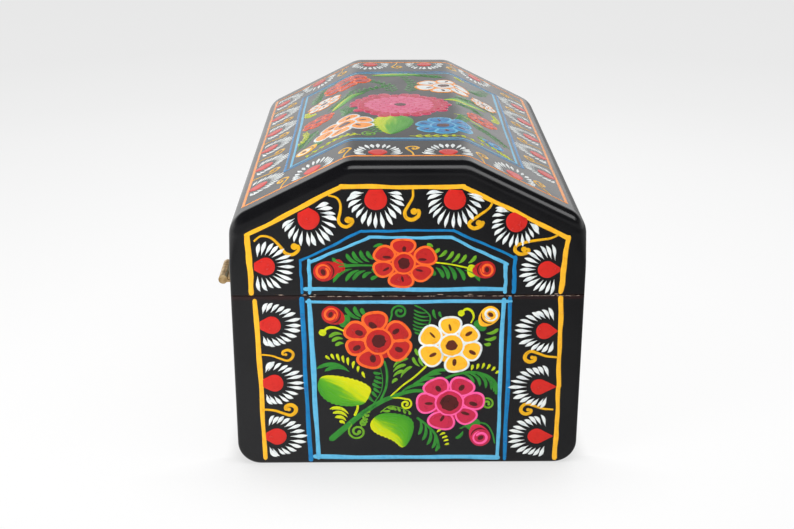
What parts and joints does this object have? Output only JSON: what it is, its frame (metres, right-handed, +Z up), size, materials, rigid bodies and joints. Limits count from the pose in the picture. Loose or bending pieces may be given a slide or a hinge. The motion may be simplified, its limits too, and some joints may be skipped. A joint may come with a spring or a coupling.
{
  "type": "wooden chest box",
  "caption": "Small black-lacquered wooden chest box with a hinged lid of six-sided section, brass butt hinges and a swing hook, painted all over with flowers and border rosettes.",
  "frame": {"origin": "middle of the underside of the box", "axes": "+X along the box's length, +Y towards the back where the hinges are, +Z up"},
  "size_m": [0.17, 0.1291, 0.1107],
  "materials": {
    "lacquered_wood": "satin black lacquer with painted decoration",
    "brass": "worn brass"
  },
  "bodies": {
    "base": {"base_front": "lacquered_wood", "base_back": "lacquered_wood", "base_end_left": "lacquered_wood", "base_end_right": "lacquered_wood", "base_bottom": "lacquered_wood", "hinge_left_base_leaf": "brass", "hinge_right_base_leaf": "brass", "hinge_left_pin": "brass", "hinge_right_pin": "brass", "base_hinge_screws": "brass", "hook_stud": "brass"},
    "lid": {"lid_front_rail": "lacquered_wood", "lid_back_rail": "lacquered_wood", "lid_front_slope": "lacquered_wood", "lid_back_slope": "lacquered_wood", "lid_crown": "lacquered_wood", "lid_end_left": "lacquered_wood", "lid_end_right": "lacquered_wood", "hinge_left_lid_leaf": "brass", "hinge_right_lid_leaf": "brass", "lid_hinge_screws": "brass", "hook_screw": "brass"},
    "hook": {"hook": "brass"}
  },
  "joints": [
    {"name": "lid_hinge", "type": "hinge", "parent": "base", "child": "lid", "pos_m": [0, 0.0644, 0.06455], "axis": [-1, 0, 0], "range_deg": [0, 180]},
    {"name": "hook_swing", "type": "hinge", "parent": "lid", "child": "hook", "pos_m": [0, -0.0609, 0.078], "axis": [0, 1, 0], "range_deg": [0, 90]}
  ]
}
